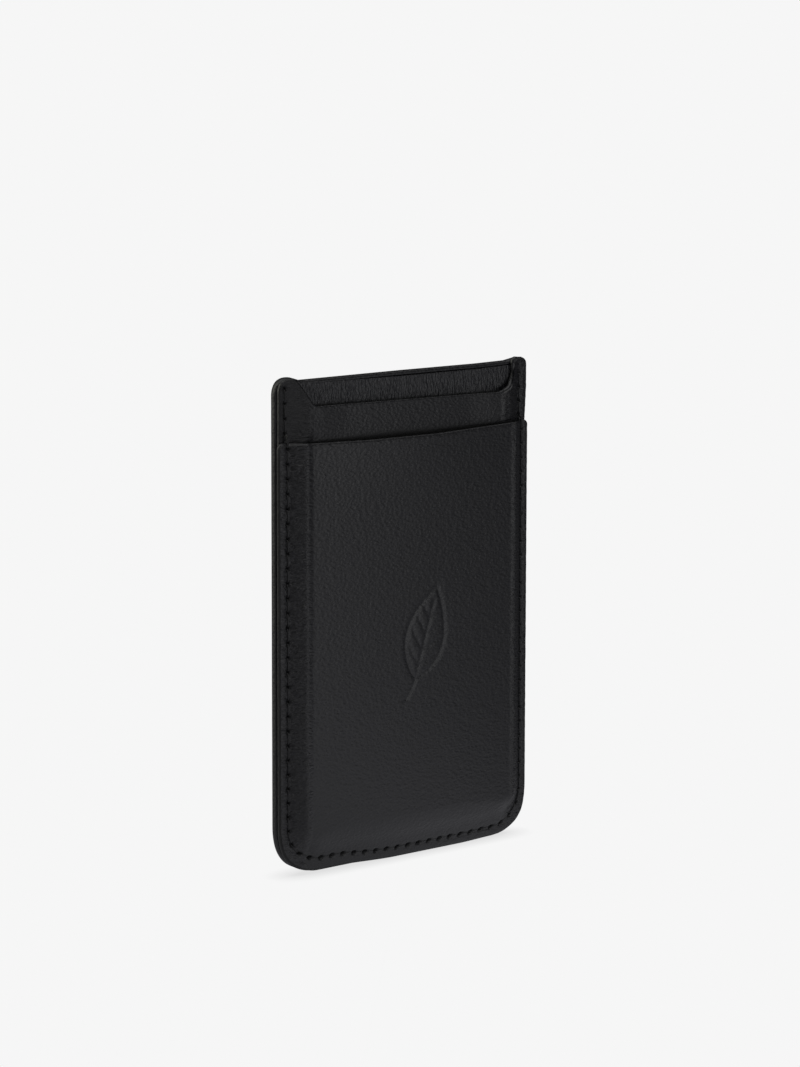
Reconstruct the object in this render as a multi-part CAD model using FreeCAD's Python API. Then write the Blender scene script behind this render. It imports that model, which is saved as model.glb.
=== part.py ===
import FreeCAD, Part
import math
import os

# Upright leather card holder with two card pockets, sewn on three sides.
# Frame: +Z up, the holder stands on its bottom edge, its front faces -Y, +X is its right side.
# The origin is the middle of the bottom edge, halfway through the thickness. Lengths are millimetres.

# Driving dimensions
width = 65.0
back_height = 96.0
corner_radius = 9.5
ear_rise = 0.9
ear_run = 3.0
ear_radius = 1.9
mouth_height = 84.5
scoop_floor = 90.5
seam_inset = 2.0
seam_top = 94.0
stitch_count = 84
card_width = 53.98

# Thickness of each layer, from the back face forwards
back_skin = 0.6
core_board = 0.45
back_turn_in = 0.25
back_lining = 0.3
rear_slot = 0.86
middle_leather = 0.5
front_slot = 0.8
pocket_lining = 0.2
stiffener = 0.25
front_leather = 0.6

# Edges and hems
back_edge_fillet = 0.72
front_edge_fillet = 0.45
middle_inset = 0.35
lining_inset = 1.2
core_inset = 1.3
turn_in_width = 7.0
front_hem = 6.0
scoop_hem = 4.0
sharpest_ear = 0.4
crest_share = 0.45

# Moulded plateaus over the cards: half widths and lowest lines, where they leave the flange and at their top
front_foot_half = 29.9
front_foot_low = 2.9
front_crown_half = 27.4
front_crown_low = 6.6
middle_foot_half = 29.6
middle_foot_low = 7.0
middle_crown_half = 28.0
middle_crown_low = 9.6
foot_radius = 6.9
crown_radius = 4.2
stiffener_gap = 0.2

# Thumb scoop in the middle panel
scoop_half_low = 27.0
scoop_half_high = 28.4
scoop_radius = 4.0

# Thread, the radius that it bends to at a hole, its needle holes, and the channel that it lies in
thread_radius = 0.11
bend_radius = 0.13
knot_gap = 0.03
hole_radius = 0.26
channel_radius = 0.34
channel_depth = 0.36
thread_sink = 0.01

# Planes across the thickness, each a value of Y
back_stack = back_skin + core_board + back_turn_in + back_lining
middle_stack = middle_leather + pocket_lining
front_stack = front_leather + pocket_lining
thickness = back_stack + rear_slot + middle_stack + front_slot + stiffener + front_stack
back_face = thickness / 2
board_front = back_face - back_skin - core_board
back_front = back_face - back_stack
middle_flange = back_front - middle_stack
front_flange = middle_flange - front_stack
middle_plateau = middle_flange - rear_slot
front_plateau = -thickness / 2
seam_middle = (front_flange + back_face) / 2

# Other derived values
half_width = width / 2
ear_top = back_height + ear_rise
far = 2 * back_height
diagonal = math.sqrt(0.5)
seam_half = half_width - seam_inset
seam_radius = corner_radius - seam_inset
bottom_half = half_width - corner_radius
quarter_turn = math.pi / 2
flat_tolerance = 1e-6

os.makedirs("parts", exist_ok=True)


def point(x, y, z):
    return FreeCAD.Vector(x, y, z)


def line(start, end):
    return Part.makeLine(start, end)


def arc(start, middle, end):
    return Part.Arc(start, middle, end).toShape()


def closed_wire(edges):
    return Part.Wire(Part.__sortEdges__(edges))


def block(x_low, x_high, y_low, y_high, z_low, z_high):
    return Part.makeBox(x_high - x_low, y_high - y_low, z_high - z_low, point(x_low, y_low, z_low))


def plate(wire, depth):
    """A flat sheet of that outline, thickened along +Y."""
    return Part.Face(wire).extrude(point(0, depth, 0))


def all_through(outline):
    """That outline extruded right through the holder, to trim or cut with."""
    return plate(outline(-far), 2 * far)


def above(height):
    return block(-far, far, -far, far, height, far)


def round_rectangle(half, low, high, radius, y):
    """A rectangle with its two lower corners rounded."""
    edges = [line(point(-half + radius, y, low), point(half - radius, y, low))]
    edges.append(line(point(-half, y, high), point(half, y, high)))
    for side in (-1, 1):
        centre_x = half - radius
        centre_z = low + radius
        middle = point(side * (centre_x + radius * diagonal), y, centre_z - radius * diagonal)
        edges.append(arc(point(side * centre_x, y, low), middle, point(side * half, y, centre_z)))
        edges.append(line(point(side * half, y, centre_z), point(side * half, y, high)))
    return closed_wire(edges)


def ear_edges(side, half, top, tip, y):
    """One top corner: a rounded outer corner, then a crest arc and a dip arc down to the straight top edge."""
    radius = max(ear_radius - (half_width - half), sharpest_ear)
    turn = 2 * math.atan(ear_rise / ear_run)
    whole_radius = ear_run / math.sin(turn)
    crest = crest_share * whole_radius
    dip = whole_radius - crest
    crest_x = half - radius
    dip_x = crest_x - ear_run

    def on_crest(angle):
        return point(side * (crest_x - crest * math.sin(angle)), y, tip - crest * (1 - math.cos(angle)))

    def on_dip(angle):
        return point(side * (dip_x + dip * math.sin(angle)), y, top + dip * (1 - math.cos(angle)))

    shoulder = point(side * (crest_x + radius * diagonal), y, tip - radius * (1 - diagonal))
    return [
        arc(point(side * half, y, tip - radius), shoulder, on_crest(0)),
        arc(on_crest(0), on_crest(turn / 2), on_crest(turn)),
        arc(on_crest(turn), on_dip(turn / 2), on_dip(0)),
    ], point(side * half, y, tip - radius), on_dip(0)


def eared_outline(inset, y):
    """Rounded bottom corners, a small rounded ear at each top corner, a straight top edge between the ears."""
    half = half_width - inset
    radius = corner_radius - inset
    floor_ends = []
    top_ends = []
    edges = []
    for side in (-1, 1):
        ear, side_end, top_end = ear_edges(side, half, back_height - inset, ear_top - inset, y)
        middle = point(side * (half - radius * (1 - diagonal)), y, inset + radius * (1 - diagonal))
        floor_end = point(side * (half - radius), y, inset)
        corner_end = point(side * half, y, inset + radius)
        edges.extend(ear)
        edges.append(arc(floor_end, middle, corner_end))
        edges.append(line(corner_end, side_end))
        floor_ends.append(floor_end)
        top_ends.append(top_end)
    edges.append(line(*floor_ends))
    edges.append(line(*top_ends))
    return closed_wire(edges)


def back_lining_outline(y):
    radius = corner_radius - lining_inset
    return round_rectangle(half_width - lining_inset, lining_inset, back_height - lining_inset, radius, y)


def turn_in_window(y):
    """The opening left in the middle by the leather that is turned in behind the lining."""
    half = half_width - turn_in_width
    return round_rectangle(half, turn_in_width, back_height - turn_in_width, corner_radius / 2, y)


def board_outline(y):
    return eared_outline(core_inset, y)


def middle_outline(y):
    return eared_outline(middle_inset, y)


def front_outline(y):
    return round_rectangle(half_width, 0, far, corner_radius, y)


def scoop_outline(y):
    """The thumb scoop: flat floor, rounded corners, and sides that lean outwards up to the ears."""
    low = scoop_floor
    high = ear_top
    radius = scoop_radius
    centre_x = scoop_half_low - radius
    edges = [line(point(-centre_x, y, low), point(centre_x, y, low))]
    for side in (-1, 1):
        middle = point(side * (centre_x + radius * diagonal), y, low + radius * (1 - diagonal))
        corner_end = point(side * scoop_half_low, y, low + radius)
        edges.append(arc(point(side * centre_x, y, low), middle, corner_end))
        edges.append(line(corner_end, point(side * scoop_half_high, y, high)))
        edges.append(line(point(side * scoop_half_high, y, high), point(side * scoop_half_high, y, far)))
    edges.append(line(point(-scoop_half_high, y, far), point(scoop_half_high, y, far)))
    return closed_wire(edges)


def stiffener_outline(y, grow=0):
    """A card's width, with its lower corners rounded; grow enlarges it all round."""
    half = card_width / 2 - stiffener_gap + grow
    low = front_crown_low + 4 * stiffener_gap - grow
    high = mouth_height - front_hem / 4
    return round_rectangle(half, low, high, crown_radius + grow, y)


def hump(foot_half, foot_low, crown_half, crown_low, foot_y, crown_y):
    """The raised part of a pocket: sloping sides and bottom, a flat front, and straight up past the mouth."""
    foot = round_rectangle(foot_half, foot_low, far, foot_radius, foot_y)
    crown = round_rectangle(crown_half, crown_low, far, crown_radius, crown_y)
    return Part.makeLoft([foot, crown], True, True).fuse(plate(foot, far))


def front_hump(shift):
    sizes = (front_foot_half, front_foot_low, front_crown_half, front_crown_low)
    return hump(*sizes, front_flange + shift, front_plateau + shift)


def middle_hump(shift):
    sizes = (middle_foot_half, middle_foot_low, middle_crown_half, middle_crown_low)
    return hump(*sizes, middle_flange + shift, middle_plateau + shift)


def moulded_sheet(outline, hump_at, flange_y, outer_shift, depth):
    """One sheet of a moulded pocket: from outer_shift to outer_shift + depth behind the pocket's surface."""
    def behind(shift):
        return block(-far, far, flange_y + shift, far, -far, far).fuse(hump_at(shift))

    sheet = behind(outer_shift).cut(behind(outer_shift + depth))
    return sheet.common(all_through(outline))


def rod(start, end, radius):
    along = end - start
    return Part.makeCylinder(radius, along.Length, start, along)


def seam_point(run):
    """X and Z on the U of the seam, a distance along it from its top left end."""
    straight = seam_top - corner_radius
    quarter = seam_radius * quarter_turn
    if run <= straight:
        return -seam_half, seam_top - run
    run -= straight
    if run <= quarter:
        turn = run / seam_radius
        return -bottom_half - seam_radius * math.cos(turn), corner_radius - seam_radius * math.sin(turn)
    run -= quarter
    if run <= 2 * bottom_half:
        return -bottom_half + run, seam_inset
    run -= 2 * bottom_half
    if run <= quarter:
        turn = run / seam_radius
        return bottom_half + seam_radius * math.sin(turn), corner_radius - seam_radius * math.cos(turn)
    return seam_half, corner_radius + run - quarter


def needle_points():
    """Where the needle goes through, evenly spaced along the seam."""
    length = 2 * (seam_top - corner_radius + seam_radius * quarter_turn + bottom_half)
    return [seam_point(length * number / stitch_count) for number in range(stitch_count + 1)]


def needle_holes():
    return Part.makeCompound([
        rod(point(x, front_plateau, z), point(x, back_face + hole_radius, z), hole_radius)
        for x, z in needle_points()
    ])


def channel(surface_y, inward):
    """The groove that the thread lies in, along the seam; inward is +1 or -1, the way into the leather."""
    y = surface_y + inward * (channel_depth - channel_radius)
    pieces = [rod(point(-bottom_half, y, seam_inset), point(bottom_half, y, seam_inset), channel_radius)]
    for side in (-1, 1):
        foot = point(side * seam_half, y, corner_radius)
        pieces.append(rod(foot, point(side * seam_half, y, seam_top), channel_radius))
        pieces.append(Part.makeSphere(channel_radius, point(side * seam_half, y, seam_top)))
        centre = point(side * bottom_half, y, corner_radius)
        ring = Part.makeTorus(seam_radius, channel_radius, centre, point(0, 1, 0))
        x_low, x_high = sorted((side * bottom_half, side * half_width))
        pieces.append(ring.common(block(x_low, x_high, -far, far, 0, corner_radius)))
    return pieces


def strand_corner(start, corner, end):
    """The arc that rounds one corner of the thread's route, and the two points where it meets the runs."""
    to_start = (start - corner).normalize()
    to_end = (end - corner).normalize()
    half_angle = to_start.getAngle(to_end) / 2
    reach = bend_radius / math.tan(half_angle)
    first = corner + to_start * reach
    last = corner + to_end * reach
    bisector = (to_start + to_end).normalize()
    middle = corner + bisector * (bend_radius / math.sin(half_angle) - bend_radius)
    return first, middle, last


def rounded_route(corners):
    """Straight runs joined by tangent arcs of the thread's bend radius."""
    edges = []
    here = corners[0]
    for before, corner, after in zip(corners, corners[1:], corners[2:]):
        first, middle, last = strand_corner(before, corner, after)
        if (first - here).Length > flat_tolerance:
            edges.append(line(here, first))
        edges.append(arc(first, middle, last))
        here = last
    edges.append(line(here, corners[-1]))
    return edges


def tangent_at(number, points):
    """Running direction of the seam at one needle hole."""
    before = points[max(number - 1, 0)]
    after = points[min(number + 1, len(points) - 1)]
    return point(after[0] - before[0], 0, after[1] - before[1]).normalize()


def sewn_thread(stitch_plane, inner_plane):
    """One thread: a stitch between each pair of holes, and in each hole a strand down and a strand back up."""
    points = needle_points()
    planes = [stitch_plane(min(first[1], second[1])) for first, second in zip(points, points[1:])]
    corners = []
    for number, (x, z) in enumerate(points):
        offset = tangent_at(number, points) * bend_radius
        if number > 0:
            corners.append(point(x, planes[number - 1], z) - offset)
            corners.append(point(x, inner_plane, z) - offset)
        if number < len(planes):
            corners.append(point(x, inner_plane, z) + offset)
            corners.append(point(x, planes[number], z) + offset)
    edges = rounded_route(corners)
    section = Part.Wire(Part.Circle(corners[0], edges[0].tangentAt(0), thread_radius).toShape())
    print(f"thread: {sum(edge.Length for edge in edges):.0f} mm long")
    return Part.Wire(edges).makePipeShell([section], True, False)


def needle_thread():
    """Over the front panel up to the mouth, then down on the middle panel's ears."""
    def plane(height):
        surface = front_flange if height < mouth_height else middle_flange
        return surface + thread_radius + thread_sink

    return sewn_thread(plane, seam_middle - thread_radius - knot_gap / 2)


def bobbin_thread():
    """Along the back of the holder, up to the knots in the middle of the stack."""
    surface = back_face - thread_radius - thread_sink
    inner = seam_middle + thread_radius + knot_gap / 2
    return sewn_thread(lambda height: surface, inner)


def back_outer_panel():
    """Leather of the back, turned over the board on all sides, with a rounded rim."""
    slab = plate(eared_outline(0, back_front), back_stack)
    rim = [edge for edge in slab.Edges if edge.BoundBox.YLength < flat_tolerance]
    slab = slab.makeFillet(back_edge_fillet, rim)
    slab = slab.cut(plate(board_outline(board_front), core_board))
    slab = slab.cut(plate(turn_in_window(board_front - back_turn_in), back_turn_in))
    slab = slab.cut(plate(back_lining_outline(back_front), back_lining))
    return slab.cut(channel(back_face, -1))


def back_core_board():
    return plate(board_outline(board_front), core_board)


def back_inner_lining():
    """Lining that the rear pocket's card slides on; its middle fills the window of the turned edges."""
    sheet = plate(back_lining_outline(back_front), back_lining)
    centre = plate(turn_in_window(back_front + back_lining), back_turn_in)
    return sheet.fuse(centre).removeSplitter()


def middle_pocket_panel():
    """Rear pocket's front: flange, moulded plateau, thumb scoop, and a turned hem along the scoop."""
    leather = moulded_sheet(middle_outline, middle_hump, middle_flange, 0, middle_leather)
    hem = moulded_sheet(middle_outline, middle_hump, middle_flange, middle_leather, pocket_lining)
    panel = leather.fuse(hem.common(above(scoop_floor - scoop_hem))).removeSplitter()
    panel = panel.cut(all_through(scoop_outline))
    grooves = [piece.common(above(mouth_height)) for piece in channel(middle_flange, 1)]
    return panel.cut([piece for piece in grooves if piece.Solids])


def middle_pocket_lining():
    sheet = moulded_sheet(middle_outline, middle_hump, middle_flange, middle_leather, pocket_lining)
    return sheet.cut(above(scoop_floor - scoop_hem))


def front_stiffener_sheet():
    """Flat sheet behind the front leather, which keeps the plateau flat."""
    return plate(stiffener_outline(front_plateau + front_leather), stiffener)


def on_front_rim(edge):
    """True for the outer edges of the front flange's face, down the sides and round the bottom."""
    box = edge.BoundBox
    on_face = abs(box.YMax - front_flange) < flat_tolerance and box.YLength < flat_tolerance
    at_side = max(abs(box.XMin), abs(box.XMax)) > half_width - flat_tolerance
    at_bottom = box.ZMin < flat_tolerance
    along_mouth = box.ZMin > mouth_height - flat_tolerance
    return on_face and (at_side or at_bottom) and not along_mouth


def front_pocket_panel():
    """Front pocket leather: flange, moulded plateau, and a turned hem along the mouth."""
    leather = moulded_sheet(front_outline, front_hump, front_flange, 0, front_leather)
    hem = moulded_sheet(front_outline, front_hump, front_flange, front_leather, pocket_lining)
    hem = hem.common(above(mouth_height - front_hem)).cut(front_stiffener_sheet())
    panel = leather.fuse(hem).removeSplitter().cut(above(mouth_height))
    panel = panel.makeFillet(front_edge_fillet, [edge for edge in panel.Edges if on_front_rim(edge)])
    return panel.cut(channel(front_flange, 1))


def front_pocket_lining():
    """Lining behind the front leather; over the stiffener it lies one sheet further back."""
    sheet = moulded_sheet(middle_outline, front_hump, front_flange, front_leather, pocket_lining)
    over_stiffener = plate(
        stiffener_outline(front_plateau + front_leather, stiffener_gap), stiffener + pocket_lining
    )
    sheet = sheet.fuse(over_stiffener).cut(front_stiffener_sheet())
    return sheet.cut(above(mouth_height - front_hem))


sewn_nodes = {
    "back_outer_panel": back_outer_panel,
    "back_core_board": back_core_board,
    "back_inner_lining": back_inner_lining,
    "middle_pocket_panel": middle_pocket_panel,
    "middle_pocket_lining": middle_pocket_lining,
    "front_pocket_panel": front_pocket_panel,
    "front_pocket_lining": front_pocket_lining,
}
loose_nodes = {
    "front_stiffener_sheet": front_stiffener_sheet,
    "needle_thread": needle_thread,
    "bobbin_thread": bobbin_thread,
}


def write_node(name, shape):
    if len(shape.Solids) == 1:
        shape = shape.Solids[0]
    print(f"{name}: {len(shape.Solids)} solid(s), valid {shape.isValid()}, {shape.Volume:.1f} mm3")
    shape.exportStep(f"parts/{name}.step")


holes = needle_holes()
for name, make in sewn_nodes.items():
    write_node(name, make().cut(holes))
for name, make in loose_nodes.items():
    write_node(name, make())
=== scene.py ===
import math

import bpy
import numpy as np
from mathutils import Matrix, Vector


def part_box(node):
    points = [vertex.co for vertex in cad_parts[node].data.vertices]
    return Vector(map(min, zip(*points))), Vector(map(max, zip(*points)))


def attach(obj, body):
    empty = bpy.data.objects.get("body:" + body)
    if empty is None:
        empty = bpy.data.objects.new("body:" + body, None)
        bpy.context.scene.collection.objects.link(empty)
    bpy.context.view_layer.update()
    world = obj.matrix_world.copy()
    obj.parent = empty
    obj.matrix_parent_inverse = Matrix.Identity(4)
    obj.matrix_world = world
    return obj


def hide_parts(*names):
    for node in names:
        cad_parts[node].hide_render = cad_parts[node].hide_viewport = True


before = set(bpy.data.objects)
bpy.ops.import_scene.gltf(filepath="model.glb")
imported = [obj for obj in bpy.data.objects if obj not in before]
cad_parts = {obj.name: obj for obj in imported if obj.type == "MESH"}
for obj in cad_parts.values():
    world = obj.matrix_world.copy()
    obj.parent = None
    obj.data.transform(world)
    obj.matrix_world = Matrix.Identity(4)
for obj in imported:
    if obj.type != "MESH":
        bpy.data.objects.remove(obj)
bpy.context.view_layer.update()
print("frame loaded")

mm = 0.001  # shapes are worked out in millimetres and scaled on the way into Blender


def boxOf(node):
    low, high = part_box(node)
    return np.array(low) / mm, np.array(high) / mm


backLow, backHigh = boxOf("back_outer_panel")
middleLow = boxOf("middle_pocket_panel")[0]
frontLow, frontHigh = boxOf("front_pocket_panel")
threadLow = boxOf("needle_thread")[0]

# The holder's own measures in mm, read from the frame where it has them
holder = {
    "half": backHigh[0],  # half its width
    "mouth": frontHigh[2],
    "cornerRadius": 9.5,
    "backFace": backHigh[1],
    "backFront": backLow[1],
    "middleFlange": frontHigh[1],
    "frontFlange": threadLow[1] - 0.01,
    "plateau": frontLow[1],
    "middlePlateau": middleLow[1],
}


def eased(t):
    # smooth step: 0 below 0, 1 above 1, three t squared minus two t cubed between
    t = np.clip(t, 0, 1)
    return t * t * (3 - 2 * t)


def ramp(t, soft):
    # a straight ramp from 0 to 1 whose two ends are rounded over soft
    low = np.where(t < soft, np.maximum(t + soft, 0) ** 2 / (4 * soft), t)
    return np.where(low > 1 - soft, 1 - np.maximum(1 + soft - t, 0) ** 2 / (4 * soft), low)


def hump(t):
    # a soft bump: 1 at t = 0, 0 at t = -1 and 1
    return eased(1 - np.abs(t))


def softNoise(a, b, seed, size=64):
    # lattice noise from -1 to 1: random values at whole numbers, eased and mixed between them
    values = np.random.default_rng(seed).uniform(-1, 1, (size, size))
    a0, b0 = np.floor(a).astype(int), np.floor(b).astype(int)
    fa, fb = eased(a - a0), eased(b - b0)
    at = lambda i, j: values[(a0 + i) % size, (b0 + j) % size]
    low = at(0, 0) * (1 - fa) + at(1, 0) * fa
    high = at(0, 1) * (1 - fa) + at(1, 1) * fa
    return low * (1 - fb) + high * fb


def roundedPath(corners, radii, columns, tight):
    # straight runs joined by arcs of the given radii, with one point for each column from -1 to 1;
    # the points crowd by the factor tight where the path turns
    corners = np.array(corners, float)
    points = [corners[0]]
    for before, corner, after, radius in zip(corners, corners[1:], corners[2:], radii):
        toStart = (before - corner) / np.linalg.norm(before - corner)
        toEnd = (after - corner) / np.linalg.norm(after - corner)
        halfAngle = math.acos(np.clip(toStart @ toEnd, -1, 1)) / 2
        reach = radius / math.tan(halfAngle)
        bisector = (toStart + toEnd) / np.linalg.norm(toStart + toEnd)
        centre = corner + bisector * radius / math.sin(halfAngle)
        first, last = corner + toStart * reach, corner + toEnd * reach
        a0 = math.atan2(*(first - centre)[::-1])
        turn = math.remainder(math.atan2(*(last - centre)[::-1]) - a0, 2 * math.pi)
        angles = a0 + turn * np.linspace(0, 1, 13)
        points.extend(centre + radius * np.stack([np.cos(angles), np.sin(angles)], 1))
    points.append(corners[-1])
    points = np.array(points)
    steps = np.linalg.norm(np.diff(points, axis=0), axis=1)
    heading = np.unwrap(np.arctan2(np.diff(points[:, 1]), np.diff(points[:, 0])))
    bend = np.append(np.abs(np.diff(heading)), 0)
    weight = np.append(0, np.cumsum(steps + tight * bend))
    wanted = (columns + 1) / 2 * weight[-1]
    return np.stack([np.interp(wanted, weight, points[:, axis]) for axis in (0, 1)], 1)


def spread(stops, gaps):
    # positions from the first stop to the last, each stretch cut into even steps near its gap
    pieces = []
    for low, high, gap in zip(stops, stops[1:], gaps):
        count = max(1, round((high - low) / gap))
        pieces.append(np.linspace(low, high, count + 1)[:-1])
    return np.append(np.concatenate(pieces), stops[-1])


def evened(values, stride):
    # the list resampled evenly in its own order, so that its number of steps divides by stride
    count = (len(values) - 1 + stride - 1) // stride * stride
    return np.interp(np.linspace(0, 1, count + 1), np.linspace(0, 1, len(values)), values)


def halfAt(z, half, radius, low):
    # half width of an outline with round lower corners, at height z
    drop = np.clip(low + radius - z, 0, radius)
    return half - radius + np.sqrt(radius ** 2 - drop ** 2)


def planGrid(columns, rows, inset, half, topPath, ruledFrom):
    # X and Z of a panel's grid: rows follow the round lower corners, and above
    # ruledFrom they run straight up to the matching points of the top path
    x = columns[None, :] * halfAt(rows, half - inset, holder["cornerRadius"] - inset, inset)[:, None]
    z = np.repeat(rows[:, None], len(columns), 1)
    ruled = np.clip((rows - ruledFrom) / (rows[-1] - ruledFrom), 0, 1)[:, None]
    baseX = columns[None, :] * (half - inset)
    x = np.where(ruled > 0, baseX * (1 - ruled) + topPath[None, :, 0] * ruled, x)
    z = np.where(ruled > 0, ruledFrom * (1 - ruled) + topPath[None, :, 1] * ruled, z)
    return x, z


def ringOf(grid):
    # the grid's border once round: along the bottom, up the right, back along the top, down the left
    return np.concatenate([grid[0, :-1], grid[:-1, -1], grid[-1, :0:-1], grid[:0:-1, 0]])


def panelMesh(face, rim, back, stride):
    # a closed sheet: the fine face, rings of rim round its border, and a coarse back.
    # face is rows x columns x 3, rim is rings x border x 3, back is face's grid thinned by stride
    rows, columns = face.shape[:2]
    border = 2 * (rows + columns) - 4
    index = np.arange(rows * columns).reshape(rows, columns)
    quads = [np.stack([index[:-1, :-1], index[:-1, 1:], index[1:, 1:], index[1:, :-1]], -1).reshape(-1, 4)]
    rings = [ringOf(index)]
    start = rows * columns
    for _ in rim:
        rings.append(start + np.arange(border))
        start += border
    for inner, outer in zip(rings, rings[1:]):
        quads.append(np.stack([np.roll(inner, -1), inner, outer, np.roll(outer, -1)], -1))
    coarse = start + np.arange(back.shape[0] * back.shape[1]).reshape(back.shape[:2])
    corners = [coarse[:-1, :-1], coarse[1:, :-1], coarse[1:, 1:], coarse[:-1, 1:]]
    quads.append(np.stack(corners, -1).reshape(-1, 4))
    fine = rings[-1].reshape(-1, stride)
    spans = np.arange(len(fine))[:, None] * stride + np.arange(stride + 1)
    closing = np.append(rings[-1], rings[-1][0])[spans]
    inner = ringOf(coarse)
    strips = np.concatenate([closing[:, ::-1], inner[:, None], np.roll(inner, -1)[:, None]], 1)
    vertices = np.concatenate([face.reshape(-1, 3), rim.reshape(-1, 3), back.reshape(-1, 3)])
    return vertices, [*np.concatenate(quads).tolist(), *strips.tolist()]


def outwards(ringX, ringZ):
    # unit normal of a closed plan border, pointing out of it
    tangentX = np.roll(ringX, -1) - np.roll(ringX, 1)
    tangentZ = np.roll(ringZ, -1) - np.roll(ringZ, 1)
    length = np.hypot(tangentX, tangentZ)
    return tangentZ / length, -tangentX / length


def addPiece(name, vertices, faces, node, material, values=None, smooth=True):
    mesh = bpy.data.meshes.new(name)
    mesh.from_pydata((settled(np.asarray(vertices)) * mm).tolist(), [], faces)
    mesh.polygons.foreach_set("use_smooth", np.full(len(mesh.polygons), smooth))
    for label, data in (values or {}).items():
        attribute = mesh.attributes.new(label, "FLOAT", "POINT")
        attribute.data.foreach_set("value", np.asarray(data, np.float32))
    mesh.update()
    piece = bpy.data.objects.new(name, mesh)
    bpy.context.scene.collection.objects.link(piece)
    mesh.materials.append(material)
    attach(piece, "root")
    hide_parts(node)
    print(f"{name}: {len(mesh.vertices)} vertices")
    return piece


seam = {
    "inset": 2.0,  # from the edge
    "top": 94.0,
    "stitches": 84,
    "valleyDepth": 0.05,
    "valleyWidth": 0.5,
    "dimpleDepth": 0.04,  # soft hollow round each needle hole
    "dimpleRadius": 0.8,
    "holeDepth": 0.75,
    "holeLong": (0.38, 0.58),  # half length on the sides and along the bottom
    "holeWide": (0.29, 0.27),
    "slant": 0.22,  # radians, as a leather-point needle leaves it
    "pillow": 0.05,  # how far the leather between seam and edge swells
}

seamRadius = holder["cornerRadius"] - seam["inset"]
seamStraight = seam["top"] - holder["cornerRadius"]
seamFloor = holder["half"] - holder["cornerRadius"]
seamLength = 2 * (seamStraight + seamRadius * math.pi / 2 + seamFloor)
stitchPitch = seamLength / seam["stitches"]


def seamCoordinates(x, z):
    # distance along the U of the seam from its top left end, and distance inwards from it
    outX = np.abs(x) - seamFloor
    drop = holder["cornerRadius"] - z
    turn = np.arctan2(np.maximum(drop, 0), np.maximum(outX, 1e-9))
    onSide, onFloor = drop <= 0, outX <= 0
    along = np.where(onSide, seam["top"] - z, seamStraight + seamRadius * turn)
    along = np.where(onFloor & ~onSide, seamStraight + seamRadius * math.pi / 2 - outX, along)
    inwards = np.where(onSide, seamRadius - outX, seamRadius - np.hypot(outX, drop))
    inwards = np.where(onFloor & ~onSide, seamRadius - drop, inwards)
    return np.where(x < 0, along, seamLength - along), inwards


def seamPoint(along):
    # the same the other way: X, Z and the running direction at a distance along the seam
    mirrored = along > seamLength / 2
    s = np.where(mirrored, seamLength - along, along)
    turn = np.clip((s - seamStraight) / seamRadius, 0, math.pi / 2)
    run = np.maximum(s - seamStraight - seamRadius * math.pi / 2, 0)
    x = -seamFloor - seamRadius * np.cos(turn) + run
    z = holder["cornerRadius"] - seamRadius * np.sin(turn) + np.maximum(seamStraight - s, 0)
    side = np.where(mirrored, -1, 1)
    return x * side, z, np.sin(turn), -np.cos(turn) * side


def seamRelief(x, z, lowest, highest):
    # how deep the sewing presses the leather, and how much of each point lies in a needle hole
    along, inwards = seamCoordinates(x, z)
    inside = eased((z - lowest) / 0.5) * eased((highest - z) / 0.5)
    toHole = along - stitchPitch * np.round(along / stitchPitch)
    onFloor = eased((holder["cornerRadius"] - 2 - z) / 3)
    reach = seam["holeLong"][0] + (seam["holeLong"][1] - seam["holeLong"][0]) * onFloor
    valley = seam["valleyDepth"] * np.exp(-(inwards / seam["valleyWidth"]) ** 2)
    dimple = seam["dimpleDepth"] * np.exp(-(toHole ** 2 + inwards ** 2) / seam["dimpleRadius"] ** 2 * 2)
    long = toHole * math.cos(seam["slant"]) + inwards * math.sin(seam["slant"])
    wide = inwards * math.cos(seam["slant"]) - toHole * math.sin(seam["slant"])
    width = seam["holeWide"][0] + (seam["holeWide"][1] - seam["holeWide"][0]) * onFloor
    hole = np.exp(-((long / reach) ** 2 + (wide / width) ** 2) ** 1.5)
    pillow = seam["pillow"] * hump((inwards + 1.15) / 0.9)
    depth = valley + dimple + seam["holeDepth"] * hole - pillow
    return depth * inside, hole * inside


# How far hand sewing pulls the outline, in mm; a pair is for the left side and the right
pull = {
    "bottomLift": (0.55, 0.25),  # the bottom edge rises towards its corners
    "liftHeight": 26,  # and nothing is lifted above this
    "cornerPush": (0.5, 0.35),  # the corners are squarer than the seam inside them
    "sideways": 0.3,  # the seam lies nearer to the sides
    "edgeKept": (0.1, 0.8),  # share of that which the outline itself doesn't follow
    "seamLift": 0.42,  # the bottom seam stands further in at the left
}


def settled(points):
    # each point moved along X and Z by the pulls above, each faded out with the eased step
    x, y, z = points.T
    across = np.abs(x)
    leftLift, rightLift = pull["bottomLift"]
    lift = leftLift * eased((-x - 3) / 16) + rightLift * eased((x - 14) / 10)
    outX, drop = np.maximum(across - seamFloor, 0), np.maximum(holder["cornerRadius"] - z, 0)
    turn = np.arctan2(drop, outX + 1e-9)
    beyond = np.clip((np.hypot(outX, drop) - seamRadius) / seam["inset"], 0, 1)
    push = np.where(x < 0, *pull["cornerPush"]) * beyond * np.sin(2 * turn) ** 2
    edgeKept = np.where(x < 0, *pull["edgeKept"]) * eased((across - 31) / 1.3)
    fuller = pull["sideways"] * eased((across - 27) / 3) * (1 - edgeKept)
    seamLift = pull["seamLift"] * (1 - eased(beyond)) * (1 - eased((z - 2.6) / 2.2)) * eased((-x - 9) / 10)
    newX = x + np.sign(x) * (fuller + push * np.cos(turn))
    newZ = z + lift * (1 - eased(z / pull["liftHeight"])) - push * np.sin(turn) + seamLift
    return np.stack([newX, y, newZ], 1)


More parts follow.
